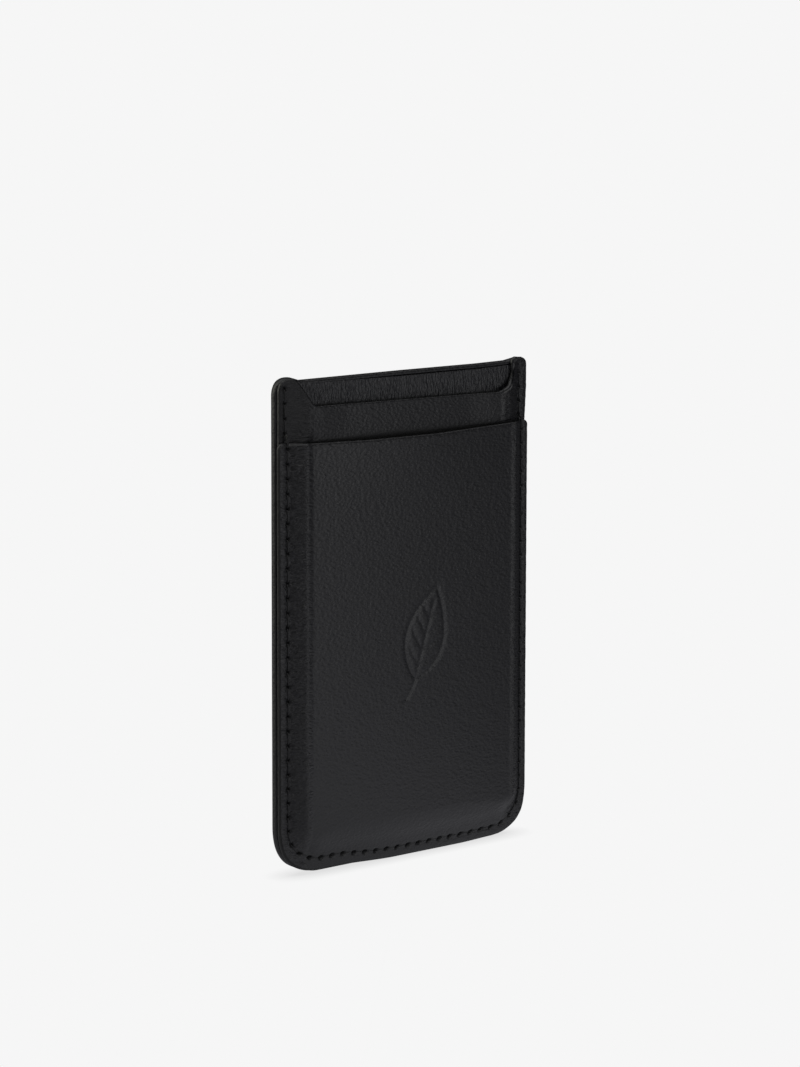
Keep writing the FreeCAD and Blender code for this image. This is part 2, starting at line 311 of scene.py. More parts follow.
def insideRound(x, z, half, low, radius):
    # distance inside a shape with straight sides and round lower corners, open at the top
    outX = np.abs(x) - (half - radius)
    drop = low + radius - z
    corner = radius - np.hypot(np.maximum(outX, 0), np.maximum(drop, 0))
    return np.where((outX > 0) & (drop > 0), corner, np.minimum(half - np.abs(x), z - low))


def linear(hexCode):
    # sRGB hex to linear: below 0.04045 divide by 12.92, above raise (c + 0.055) / 1.055 to 2.4
    c = np.array([int(hexCode[i:i + 2], 16) for i in (1, 3, 5)]) / 255
    return (*np.where(c <= 0.04045, c / 12.92, ((c + 0.055) / 1.055) ** 2.4), 1)


def addNode(tree, kind, settings=None, links=None):
    # one node: settings are its own properties or its sockets' values, links feed its sockets
    node = tree.nodes.new(kind)
    for name, value in (settings or {}).items():
        if isinstance(name, str) and hasattr(node, name):
            setattr(node, name, value)
        else:
            node.inputs[name].default_value = value
    for name, source in (links or {}).items():
        tree.links.new(source, node.inputs[name])
    return node


def newMaterial(name, settings):
    material = bpy.data.materials.new(name)
    material.use_nodes = True
    tree = material.node_tree
    tree.nodes.clear()
    shader = addNode(tree, "ShaderNodeBsdfPrincipled", settings)
    addNode(tree, "ShaderNodeOutputMaterial", links={"Surface": shader.outputs["BSDF"]})
    coordinates = addNode(tree, "ShaderNodeTexCoord")
    inMm = addNode(tree, "ShaderNodeMapping", {"Scale": (1 / mm,) * 3}, {
        "Vector": coordinates.outputs["Object"],
    })
    return material, tree, shader, inMm.outputs["Vector"]


leather = {
    "colour": "#131316",
    "worn": "#19191c",  # the lighter tone of the dye's slight cloudiness
    "pressedAndShade": "#030303",  # colour of the painted shade: in the needle holes, under the lip, along the scoop's edge, on the cut edges and on the left ear
    "shadeRoughness": 0.95,
    "foldRelief": 8.0,  # height of the folds of creased leather, against that of the grain
    "roughness": 0.42,
    "specular": 0.5,
    "grain": 0.5,  # mm across one grain cell
    "relief": 0.055,  # mm
    "stretch": (0.62, 1, 1),  # its cells are longer across the panel than up it
}


def calfLeather(name, look):
    # full-grain calf, aniline dyed black and plated: tight shallow grain cells about half a millimetre
    # across with finer pores between them, and a soft semi-matt sheen. Its darkening attribute is painted
    # shade:
    # it darkens and dulls the leather in the needle holes and other shaded places, and the attribute creased
    # adds folds
    material, tree, shader, position = newMaterial(name, {
        "Roughness": look["roughness"], "IOR": 1.5, "Specular IOR Level": look["specular"],
    })
    flat = addNode(tree, "ShaderNodeMapping", {"Scale": look["stretch"]}, {"Vector": position})
    cells = addNode(tree, "ShaderNodeTexVoronoi", {
        "feature": "SMOOTH_F1", "Scale": 1 / look["grain"], "Smoothness": 0.5, "Randomness": 1.0,
    }, {"Vector": flat.outputs["Vector"]})
    pores = addNode(tree, "ShaderNodeTexNoise", {"Scale": 1.5, "Detail": 3.0, "Roughness": 0.65}, {
        "Vector": flat.outputs["Vector"],
    })
    grain = addNode(tree, "ShaderNodeMath", {"operation": "MULTIPLY_ADD", 1: 1.6}, {
        0: pores.outputs["Fac"], 2: cells.outputs["Distance"],
    })
    along = addNode(tree, "ShaderNodeMapping", {"Scale": (0.7, 1, 2.2)}, {"Vector": position})
    folds = addNode(tree, "ShaderNodeTexNoise", {"Scale": 0.9, "Detail": 3.0, "Distortion": 0.6}, {
        "Vector": along.outputs["Vector"],
    })
    creased = addNode(tree, "ShaderNodeAttribute", {"attribute_name": "creased"})
    crease = addNode(tree, "ShaderNodeMath", {"operation": "MULTIPLY"}, {
        0: folds.outputs["Fac"], 1: creased.outputs["Fac"],
    })
    height = addNode(tree, "ShaderNodeMath", {"operation": "MULTIPLY_ADD", 1: look["foldRelief"]}, {
        0: crease.outputs["Value"], 2: grain.outputs["Value"],
    })
    bump = addNode(tree, "ShaderNodeBump", {"Strength": 1.0, "Distance": look["relief"] * mm}, {
        "Height": height.outputs["Value"],
    })
    tree.links.new(bump.outputs["Normal"], shader.inputs["Normal"])
    cloud = addNode(tree, "ShaderNodeTexNoise", {"Scale": 0.12, "Detail": 4.0, "Roughness": 0.55}, {
        "Vector": position,
    })
    tone = addNode(tree, "ShaderNodeMix", {"data_type": "RGBA"}, {"Factor": cloud.outputs["Fac"]})
    tone.inputs[6].default_value = linear(look["colour"])
    tone.inputs[7].default_value = linear(look["worn"])
    # painted shade: the darkening attribute mixes in the dark colour and raises the roughness
    pressedAndShade = addNode(tree, "ShaderNodeAttribute", {"attribute_name": "pressedAndShade"})
    dark = addNode(tree, "ShaderNodeMix", {"data_type": "RGBA"}, {"Factor": pressedAndShade.outputs["Fac"]})
    tree.links.new(tone.outputs[2], dark.inputs[6])
    dark.inputs[7].default_value = linear(look["pressedAndShade"])
    tree.links.new(dark.outputs[2], shader.inputs["Base Color"])
    dull = addNode(tree, "ShaderNodeMapRange", {
        "To Min": look["roughness"], "To Max": look["shadeRoughness"],
    }, {"Value": pressedAndShade.outputs["Fac"]})
    tree.links.new(dull.outputs["Result"], shader.inputs["Roughness"])
    return material


def waxedThread():
    # bonded polyester, waxed black: two twisted plies, about one ridge per millimetre, satin
    material, tree, shader, _ = newMaterial("waxed polyester thread", {
        "Base Color": linear("#18181a"), "Roughness": 0.55, "IOR": 1.5,
    })
    ply = addNode(tree, "ShaderNodeAttribute", {"attribute_name": "ply"})
    bump = addNode(tree, "ShaderNodeBump", {"Strength": 1.0, "Distance": 0.03 * mm}, {
        "Height": ply.outputs["Fac"],
    })
    tree.links.new(bump.outputs["Normal"], shader.inputs["Normal"])
    return material


def plainSheet(name, colour, roughness, gap):
    # hidden layers: fibre board or woven lining, matt, with a fine even texture gap millimetres across
    material, tree, shader, position = newMaterial(name, {
        "Base Color": linear(colour), "Roughness": roughness, "IOR": 1.45,
    })
    weave = addNode(tree, "ShaderNodeTexNoise", {"Scale": 1 / gap, "Detail": 2.0}, {"Vector": position})
    bump = addNode(tree, "ShaderNodeBump", {"Strength": 0.8, "Distance": 0.03 * mm}, {
        "Height": weave.outputs["Fac"],
    })
    tree.links.new(bump.outputs["Normal"], shader.inputs["Normal"])
    return material


outerLeather = calfLeather("full-grain calf leather", leather)
innerLeather = calfLeather("grained lining leather", {
    **leather, "colour": "#1b1b1e", "worn": "#27272a", "specular": 0.58,
    "grain": 0.45, "relief": 0.2, "stretch": (1.3, 1, 0.36),
})
threadMaterial = waxedThread()
boardMaterial = plainSheet("bonded leather board", "#6b4a32", 0.8, 0.25)
stiffenerMaterial = plainSheet("black dyed stiffener board", "#1b1a1a", 0.75, 0.25)
fabricMaterial = plainSheet("woven pocket lining", "#151516", 0.7, 0.18)
print("materials made")


def sideSteps(inset, seamGap, gap):
    # column places from -1 to 1, finest over the seam
    half = holder["half"] - inset
    inwards = spread([0, 3.3 - inset, 6.0 - inset, half], [seamGap, 0.27, gap])
    return np.concatenate([inwards - half, (half - inwards)[-2::-1]]) / half


def rolledEdge(face, behind, radius, square=1.0):
    # rings that carry a face round its border to the depths behind: half an ellipse, or squarer where
    # square is below 1
    ringX, ringY, ringZ = (ringOf(face[..., axis]) for axis in range(3))
    outX, outZ = outwards(ringX, ringZ)
    rings = []
    for turn in np.linspace(0, math.pi, 11)[1:-1]:
        reach = radius * math.sin(turn) ** square
        turned = math.copysign(abs(math.cos(turn)) ** square, math.cos(turn))
        depth = ringY + (behind - ringY) * (1 - turned) / 2
        rings.append(np.stack([ringX + outX * reach, depth, ringZ + outZ * reach], -1))
    return rings


def facePaint(hole, creased, vertices, dark=0, edgeShade=0):
    # point values: the darkening attribute is painted shade, 1 in the face's needle holes and dark where that
    # is given;
    # on the cut edges and the back, below the mouth, it is painted edge shade at the level given last;
    # creased is how folded the face is
    edges = vertices[hole.size:, 2]
    pressedAndShade = np.maximum(np.clip(hole * 3 - 0.2, 0, 1), dark)
    return {
        # painted shade on the cut edges and the back below the mouth
        "pressedAndShade": np.append(pressedAndShade.ravel(), edgeShade * (1 - eased((edges - holder["mouth"] + 4) / 3))),
        "creased": np.append(creased.ravel(), 0 * edges),
    }


front = {
    "edgeRadius": 0.4,
    "thickness": 0.8,
    "footHalf": 30.1,
    "footLow": 2.7,
    "footRadius": 7.2,
    "sideRun": 2.45,  # width of the moulded slope at the sides
    "bottomRun": 4.4,  # and at the bottom
    "softness": (0.13, 0.5),  # rounding of the slope's two ends, at the sides and at the bottom
    "fuller": 0.3,  # how far its left edge stands out past its plain outline
    "bowFrom": 58,  # the lip's bow starts at this height
    "bowHalf": 27.5,  # and reaches this far from the middle
    "gape": 0.6,  # how far the lip bows out in the middle
    "bead": 0.07,
    "wrinkle": 0.016,
    # darkening of the cut edges below the mouth: painted shade for the groove they sit in
    "cutEdgeShade": 0.45,
    "gap": 0.33,
    "stride": 4,
    "mouth": [(-32.4, 81.9), (-32.4, 83.4), (-26, 83.15), (-12, 82.95), (6, 83.1), (17, 83.55), (27, 83.95),
              (32.1, 84.05), (32.1, 82.3)],
    "mouthRadii": [0.7, 20, 60, 60, 60, 30, 0.7],
}


def leafOrnament(x, z):
    # a debossed leaf: two mirrored curves that meet at a tip, a midrib that runs on as a stem, and side veins
    tilt, length, belly = 0.32, 18.5, 5.0
    dx, dz = x - 0.2, z - 35.5
    p = dx * math.sin(tilt) + dz * math.cos(tilt)
    q = dx * math.cos(tilt) - dz * math.sin(tilt)
    share = np.clip(p / length, 0, 1)
    width = belly * np.sin(math.pi * share ** 0.85) ** 0.9
    outline = np.hypot(np.abs(np.abs(q) - width), np.maximum(np.maximum(-p, p - length), 0))
    rib = np.hypot(q + 0.05 * np.minimum(p, 0) ** 2, np.maximum(np.maximum(-4.5 - p, p - length * 0.86), 0))
    veins = np.full(x.shape, 9.0)
    for start in np.linspace(2.6, length * 0.66, 4):
        beyond = np.maximum(np.abs(q) - np.maximum(width - 1.1, 0), 0)
        veins = np.minimum(veins, np.hypot((p - start - 0.85 * np.abs(q)) * 0.76, beyond))
    groove = np.maximum(np.exp(-(outline / 0.5) ** 2), 0.9 * np.exp(-(rib / 0.45) ** 2))
    groove = np.maximum(groove, 0.6 * np.exp(-(veins / 0.38) ** 2) * (share > 0) * (share < 1))
    swell = 0.1 * eased((width - np.abs(q)) / 2.5) * (share > 0) * (share < 1)
    return 0.2 * groove - swell


def frontBase(x, z):
    # the moulded shape without the sewing: flange, slope up to the plateau, and the bowed lip
    foot = insideRound(x, z, front["footHalf"], front["footLow"], front["footRadius"])
    toSide = np.maximum(front["footHalf"] - np.abs(x), 0.01)
    toLow = np.maximum(z - front["footLow"], 0.01)
    atBottom = eased((toSide - toLow) / (toSide + toLow) * 0.9 + 0.5)
    run = front["sideRun"] + (front["bottomRun"] - front["sideRun"]) * atBottom
    soft = front["softness"][0] + (front["softness"][1] - front["softness"][0]) * atBottom
    rise = (holder["frontFlange"] - holder["plateau"]) * ramp(foot / run, soft)
    bowed = eased((z - front["bowFrom"]) / (holder["mouth"] - front["bowFrom"])) ** 2
    bow = front["gape"] * np.maximum(1 - (x / front["bowHalf"]) ** 2, 0) ** 1.7 * bowed
    return holder["frontFlange"] - rise - bow


def makeFrontPanel():
    inset, stride = front["edgeRadius"], front["stride"]
    columns = evened(sideSteps(inset, 0.2, front["gap"]), stride)
    columns = columns - front["fuller"] / holder["half"] * eased((-columns - 0.96) / 0.04)
    rows = evened(spread([inset, 3.3, 80.0, holder["mouth"] - inset], [0.2, stitchPitch / 10, 0.2]), stride)
    topPath = roundedPath(front["mouth"], front["mouthRadii"], columns, 0.5)
    x, z = planGrid(columns, rows, inset, holder["half"], topPath, 80.0)
    base = frontBase(x, z)
    relief, hole = seamRelief(x, z, -1, holder["mouth"] + 0.4)
    onPlateau = eased((27.4 - np.abs(x)) / 1.5)
    toRight = 0.35 + 0.65 * eased((x + 8) / 26)
    sway = 1.5 * softNoise(x / 5, z / 5, 3)
    wrinkles = softNoise(x / 2.2, z / 0.8 + sway, 4) + 0.7 * softNoise(x / 1.3 + 9, z / 0.5 + sway, 5)
    fine = softNoise(x / 1.1 + sway, z / 0.75, 6)
    surface = front["wrinkle"] * (wrinkles * toRight * onPlateau + fine * 2.2 * (1 - onPlateau))
    lipAt = np.interp(x, [p[0] for p in front["mouth"][1:-1]], [p[1] for p in front["mouth"][1:-1]])
    bead = front["bead"] * hump((z - (lipAt - 0.5)) / 0.9)
    y = base + relief + surface + leafOrnament(x, z) - bead
    face = np.stack([x, y, z], -1)
    back = np.stack([x, base + front["thickness"], z], -1)[::stride, ::stride]
    rim = rolledEdge(face, ringOf(base) + front["thickness"], inset)
    vertices, faces = panelMesh(face, np.array(rim), back, stride)
    # paint: shade painted in the needle holes and on the cut edges below the mouth
    addPiece("front_pocket_leather", vertices, faces, "front_pocket_panel", outerLeather,
             facePaint(hole, 0.12 * toRight + 0.88 * (1 - onPlateau), vertices, edgeShade=front["cutEdgeShade"]))


makeFrontPanel()


middle = {
    "edgeRadius": 0.34,
    "thickness": 0.68,
    "inset": 0.45,
    "footHalf": 29.9,
    "footLow": 6.5,
    "sideRun": 1.9,  # width of the slope low down
    "earRun": (4.9, 2.6),  # and up at the left and the right ear
    "swell": 0.38,  # how far the sloping part stands out at the ears
    "underLip": (0.5, 1.3),  # height of the painted strip that deepens the lip's shadow, more in the middle
    "earShade": 0.3,  # how far the left ear is darkened: painted shade
    # darkening of the cut edges below the mouth: painted shade for the groove they sit in
    "cutEdgeShade": 0.5,
    "pucker": 0.04,  # height of the ears' wrinkles
    "creaseDepth": 3.6,  # of the creases in the left ear, as a multiple of the depths given below
    "scoopEdge": 0.5,  # how much thicker the folded edge is at the scoop's right end
    "stride": 4,
    "top": [(-31.7, 91.0), (-31.7, 95.3), (-28.5, 95.6), (-26.5, 93.0), (-24.5, 90.0), (0, 90.05),
            (29.35, 90.1), (29.3, 96.45), (31.0, 96.75), (32.5, 96.3), (32.5, 91.0)],
    "topRadii": [2.2, 0.8, 3.5, 2.2, 400, 4.4, 0.5, 1.0, 0.9],
}


def middleBase(x, z):
    foot = insideRound(x, z, middle["footHalf"], middle["footLow"], front["footRadius"])
    earRun = np.where(x < 0, *middle["earRun"])
    run = middle["sideRun"] + (earRun - middle["sideRun"]) * eased((z - 82.5) / 4)
    swell = middle["swell"] * eased((z - 82.5) / 4) * hump((np.abs(x) - 25) / 10)
    rise = (holder["middleFlange"] - holder["middlePlateau"] + swell) * ramp(foot / run, 0.12)
    return holder["middleFlange"] - rise


def earCreases(x, z):
    # short diagonal creases in the left ear, each a soft valley along a line
    depth = np.zeros(x.shape)
    for startX, startZ, length, angle, deep in (
        (-24.9, 89.9, 4.6, 3.75, 0.035), (-25.2, 88.9, 4.2, 3.85, 0.03), (-25.6, 87.7, 3.4, 3.8, 0.025),
        (-25.4, 91.2, 3.2, 3.6, 0.03), (-26.4, 92.6, 2.6, 3.5, 0.025),
    ):
        ux, uz = math.cos(angle), math.sin(angle)
        p = (x - startX) * ux + (z - startZ) * uz
        q = (z - startZ) * ux - (x - startX) * uz
        depth += deep * np.exp(-(q / 0.22) ** 2) * eased(p / 0.8) * eased((length - p) / 1.2)
    return depth


def makeMiddlePanel():
    inset, stride = middle["edgeRadius"] + middle["inset"], middle["stride"]
    columns = evened(sideSteps(inset, 0.22, 0.33), stride)
    rows = evened(spread([inset, 78.0, 82.0, 96.0], [3.0, 0.5, 0.2]), stride)
    topPath = roundedPath(middle["top"], middle["topRadii"], columns, 0.6)
    x, z = planGrid(columns, rows, inset, holder["half"], topPath, 78.0)
    base = middleBase(x, z)
    relief, hole = seamRelief(x, z, holder["mouth"] - 1.0, seam["top"] + 0.9)
    ear = eased((np.abs(x) - 24.5) / 1.5) * eased((z - 83) / 2)
    pucker = softNoise(x / 1.0 + z / 2.2, z / 0.6 - x / 2.5, 11) + 0.8 * softNoise(x / 0.5, z / 0.42, 12)
    surface = 0.006 * softNoise(x / 3, z / 0.8, 13) + middle["pucker"] * pucker * ear
    y = base + relief + surface + middle["creaseDepth"] * earCreases(x, z) * eased((z - 84) / 2)
    face = np.stack([x, y, z], -1)
    folded = eased((ringOf(x) - 23.5) / 3) * eased((31 - ringOf(x)) / 2) * eased((ringOf(z) - 89) / 1)
    behind = ringOf(base) + middle["thickness"] + middle["scoopEdge"] * folded
    rim = rolledEdge(face, behind, middle["edgeRadius"] + 0.45 * folded, 0.8)
    back = np.stack([x, base + middle["thickness"], z], -1)[::stride, ::stride]
    vertices, faces = panelMesh(face, np.array(rim), back, stride)
    lipAt = np.interp(x, *np.transpose(front["mouth"][1:-1]))
    reach = middle["underLip"][0] + middle["underLip"][1] * np.maximum(1 - (x / 27) ** 2, 0)
    underLip = (1 - eased((z - lipAt - 0.15) / reach)) * eased((31.5 - np.abs(x)) / 1.5)
    # paint: shade painted under the lip, on the left ear, in the needle holes and on the cut edges
    addPiece("middle_pocket_leather", vertices, faces, "middle_pocket_panel", outerLeather,
             facePaint(hole, ear, vertices, np.maximum(underLip, middle["earShade"] * ear * (x < 0)),
                       middle["cutEdgeShade"]))


makeMiddlePanel()


back = {
    "edgeRadius": 0.5,  # across the edge; the thickness gives the other way
    "proud": 0.05,  # how far the turned edge stands forward of the plain front face
    "bead": 0.35,  # flat part of the turned edge inside its rounding
    "recess": 0.45,
    "pressedAndShade": 0.25,  # thinner outside the seam: a depth in the shape, not paint
    "stride": 4,
    "top": [(-32.0, 89.0), (-32.0, 95.55), (-28.6, 95.5), (-26.4, 94.85), (0, 95.4), (20, 95.7),
            (27.8, 95.95), (30.4, 96.45), (32.0, 96.3), (32.0, 89.0)],
    "topRadii": [2.7, 1.6, 1.0, 300, 100, 2.0, 1.0, 1.4],
}


def makeBackPanel():
    inset, stride = back["edgeRadius"], back["stride"]
    columns = evened(sideSteps(inset, 0.22, 0.42), stride)
    rows = evened(spread([inset, 3.3, 86.0, 96.0], [0.2, stitchPitch / 9, 0.3]), stride)
    topPath = roundedPath(back["top"], back["topRadii"], columns, 0.5)
    x, z = planGrid(columns, rows, inset, holder["half"], topPath, 86.0)
    relief, hole = seamRelief(x, z, -1, seam["top"] + 0.9)
    surface = 0.008 * softNoise(x / 3, z / 1.1, 21)
    pressedAndShade = back["pressedAndShade"] * eased((-seamCoordinates(x, z)[1] - 0.2) / 1.3)
    face = np.stack([x, holder["backFace"] - relief - surface - pressedAndShade, z], -1)[:, ::-1]
    hole = hole[:, ::-1]
    ringX, ringY, ringZ = (ringOf(face[..., axis]) for axis in range(3))
    outX, outZ = outwards(ringX, ringZ)
    outX, outZ = -outX, -outZ
    frontAt = holder["backFront"] - back["proud"]
    rim = []
    for turn in np.linspace(0, math.pi, 17)[1:]:
        reach = inset * math.sin(turn)
        share = (1 - math.cos(turn)) / 2
        depth = ringY + (frontAt - ringY) * share
        rim.append(np.stack([ringX + outX * reach, depth, ringZ + outZ * reach], -1))
    for share, deeper in ((0.6, 0.0), (0.85, 0.03), (1.0, 0.12), (1.05, back["recess"] + back["proud"])):
        reach = -back["bead"] * share
        depth = np.full(ringX.shape, frontAt + deeper)
        rim.append(np.stack([ringX + outX * reach, depth, ringZ + outZ * reach], -1))
    inner = np.stack([face[..., 0] * 0.97, np.full(face.shape[:2], holder["backFront"] + back["recess"]),
                      (face[..., 2] - 48) * 0.98 + 48], -1)[::stride, ::stride]
    vertices, faces = panelMesh(face, np.array(rim), inner, stride)
    # paint: shade painted in the needle holes
    addPiece("back_outer_leather", vertices, faces, "back_outer_panel", outerLeather,
             facePaint(hole, 0 * hole, vertices))


makeBackPanel()


lining = {
    "gap": 0.22,
    "wrinkle": 0.045,
    "thickness": 0.3,
    "inset": 1.1,
    "turned": 0.05,  # the turned corner of the outer leather shows through as a low step
    "shade": 0.9,  # painted along the scoop's edge, where it deepens the shadow
    "shadeReach": 0.65,
    "stride": 4,
}


def makeBackLining():
    inset, stride = lining["inset"], lining["stride"]
    half = holder["half"] - inset
    columns = evened(np.linspace(-1, 1, round(2 * half / lining["gap"])), stride)
    rows = evened(spread([inset, 82.0, 96.0], [4.0, 0.16]), stride)
    topPath = roundedPath([(-half, 88.0), (-half, 94.6), (0, 94.7), (20, 95.05), (half, 95.5), (half, 88.0)],
                          [1.0, 400, 100, 1.0], columns, 0.5)
    x, z = planGrid(columns, rows, inset, holder["half"], topPath, 82.0)
    sway = softNoise(x / 2.4, z / 3.0, 31) * 0.8
    folds = softNoise(x / 0.6 + sway, z / 2.8, 32) + 0.6 * softNoise(x / 0.4 + 5 + sway, z / 1.4, 33)
    corner = np.hypot(np.maximum(-22.6 - x, 0), np.maximum(z - 92.2, 0)) - 2.3
    open = eased(0.5 - corner / 0.5)
    y = holder["backFront"] + 0.02 + lining["wrinkle"] * folds * open - lining["turned"] * (1 - open)
    face = np.stack([x, y, z], -1)
    behind = np.full(ringOf(x).shape, holder["backFront"] + lining["thickness"])
    rim = rolledEdge(face, behind, lining["thickness"] / 2)
    sheetY = np.full(x.shape, holder["backFront"] + lining["thickness"])
    sheet = np.stack([x, sheetY, z], -1)[::stride, ::stride]
    vertices, faces = panelMesh(face, np.array(rim), sheet, stride)
    toEdge = np.minimum(z - 90.0, 0.45 * (29.4 - x) + 0.2 * np.maximum(z - 93, 0))
    shaded = lining["shade"] * (1 - eased((toEdge - 0.1) / lining["shadeReach"]))
    addPiece("back_lining_leather", vertices, faces, "back_inner_lining",
             innerLeather, facePaint(0 * x, 0 * x, vertices, shaded))


makeBackLining()


thread = {
    "radius": 0.21,
    "lift": -0.05,  # centre of a stitch above the leather round it
    "dive": 0.7,
    "sides": 8,
    "steps": 14,
    "twist": 1.05,  # mm along the thread from one ply's ridge to the next's
    "slant": 0.16,
}


def makeThread(name, node, surfaceAt, outward):
    # every stitch at once: a tube along the seam between two holes, arched, with its ends down in them
    first = np.arange(seam["stitches"]) * stitchPitch
    share = np.linspace(0, 1, thread["steps"])
    along = first[:, None] + stitchPitch * (0.03 + 0.94 * share[None, :])
    x, z, runX, runZ = seamPoint(along)
    lean = thread["slant"] * (share - 0.5)[None, :]
    onFloor = eased((holder["cornerRadius"] - 2 - z) / 3)
    flat = 0.66 - 0.32 * onFloor
    arch = 1 - eased((np.abs(2 * share - 1)[None, :] - flat) / (1 - flat))
    cy = surfaceAt(z) + outward * (thread["lift"] * arch - thread["dive"] * (1 - arch))
    centre = np.stack([x - runZ * lean, cy, z + runX * lean], -1)
    tangent = np.gradient(centre, axis=1)
    tangent /= np.linalg.norm(tangent, axis=-1, keepdims=True)
    side = np.stack([-runZ, np.zeros(x.shape), runX], -1)
    side -= (side * tangent).sum(-1, keepdims=True) * tangent
    side /= np.linalg.norm(side, axis=-1, keepdims=True)
    up = np.cross(tangent, side)
    angle = np.linspace(0, 2 * math.pi, thread["sides"], endpoint=False)
    sidewards, upwards = (f(angle)[None, None, :, None] for f in (np.cos, np.sin))
    ring = side[:, :, None] * sidewards + up[:, :, None] * upwards
    points = centre[:, :, None] + ring * thread["radius"]
    index = np.arange(points.size // 3).reshape(points.shape[:3])
    a, b = index[:, :-1], index[:, 1:]
    quads = np.stack([a, np.roll(a, -1, 2), np.roll(b, -1, 2), b], -1).reshape(-1, 4)
    caps = [*index[:, 0, ::-1].tolist(), *index[:, -1].tolist()]
    ply = 0.5 + 0.5 * np.sin(2 * angle[None, None, :] + along[:, :, None] * 2 * math.pi / thread["twist"])
    addPiece(name, points.reshape(-1, 3), [*quads.tolist(), *caps], node, threadMaterial,
             {"ply": ply.ravel()})


def frontLevel(z):
    onFront = z.min(1, keepdims=True) < holder["mouth"] - 0.4
    return np.where(onFront, holder["frontFlange"], holder["middleFlange"]) + 0 * z


makeThread("needle_stitches", "needle_thread", frontLevel, -1)
makeThread("bobbin_stitches", "bobbin_thread", lambda z: np.full(z.shape, holder["backFace"]), 1)

for node, material in {
    "back_core_board": boardMaterial,
    "front_stiffener_sheet": stiffenerMaterial,
    "middle_pocket_lining": fabricMaterial,
    "front_pocket_lining": fabricMaterial,
}.items():
    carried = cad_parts[node]
    carried.data.materials.clear()
    carried.data.materials.append(material)


# World and floor: the light level by azimuth that every ray but the camera's meets, from -180 to 180
# degrees round the holder with 0 in front of it. The camera's own rays see plain paper
studio = {
    "paper": 0.922,  # the pale sweep as the camera sees it
    "world": [(-180, 0.02), (-160, 0.06), (-138, 1.5), (-106, 2.5), (-84, 0.45), (-64, 0.01), (15, 0.01),
              (60, 0.01), (180, 0.01)],
    "floor": [(-180, 0.02), (-160, 0.05), (-140, 0.6), (-108, 0.9), (-84, 0.2), (-42, 0.12), (-18, 0.4),
              (8, 0.56), (38, 0.16), (62, 0.09), (180, 0.01)],
    "peak": 2.5,  # levels are kept as a share of this on the ramp
    "warm": 0.9,  # blue share of the light from behind on the left
    "cool": 1.05,  # and from everywhere else
    "overhead": 1.3,  # level of the ceiling
    "overheadTowards": (0.1, -0.2, 0.975),
    "softbox": {
        "azimuth": 18, "elevation": 3, "distance": 0.3,
        "width": 0.1, "height": 0.2, "radiance": 2.05,
    },
    "fanBehind": 0.12,  # the floor's light fans out from this far behind the holder
    "shadowReach": 5.0,  # mm
    "shadowLevel": 0.8,  # of the paper, right under the holder
    "middle": (0, 0, 0.05),  # what the lamp points at
}


def towards(azimuth, elevation, distance):
    # a point at that azimuth and elevation in degrees, from the middle of the holder
    a, e = math.radians(azimuth), math.radians(elevation)
    direction = Vector((math.sin(a) * math.cos(e), -math.cos(a) * math.cos(e), math.sin(e)))
    return Vector(studio["middle"]) + distance * direction


def addSoftbox(name, box):
    light = bpy.data.lights.new(name, "AREA")
    light.shape, light.size, light.size_y = "RECTANGLE", box["width"], box["height"]
    light.energy = box["radiance"] * math.pi * box["width"] * box["height"]
    lamp = bpy.data.objects.new(name, light)
    lamp.location = towards(box["azimuth"], box["elevation"], box["distance"])
    lamp.rotation_mode = "QUATERNION"
    lamp.rotation_quaternion = (lamp.location - Vector(studio["middle"])).to_track_quat("Z", "Y")
    bpy.context.scene.collection.objects.link(lamp)


def levelByAzimuth(tree, vector, stops):
    # azimuth of a direction, turned into a light level along the stops
    parts = addNode(tree, "ShaderNodeSeparateXYZ", links={"Vector": vector})
    forwards = addNode(tree, "ShaderNodeMath", {"operation": "MULTIPLY", 1: -1.0}, {0: parts.outputs["Y"]})
    azimuth = addNode(tree, "ShaderNodeMath", {"operation": "ARCTAN2"}, {
        0: parts.outputs["X"], 1: forwards.outputs["Value"],
    })
    place = addNode(tree, "ShaderNodeMapRange", {"From Min": -math.pi, "From Max": math.pi}, {
        "Value": azimuth.outputs["Value"],
    })
    levels = addNode(tree, "ShaderNodeValToRGB", links={"Fac": place.outputs["Result"]})
    levels.color_ramp.interpolation = "EASE"
    for element, (angle, level) in enumerate(stops):
        spot = (angle + 180) / 360
        if element < 2:
            entry = levels.color_ramp.elements[element]
            entry.position = spot
        else:
            entry = levels.color_ramp.elements.new(spot)
        share = level / studio["peak"]
        entry.color = (share, share, share * (studio["warm"] if angle < -60 else studio["cool"]), 1)
    scaled = addNode(tree, "ShaderNodeVectorMath", {"operation": "SCALE", "Scale": studio["peak"]}, {
        "Vector": levels.outputs["Color"],
    })
    return scaled.outputs["Vector"]


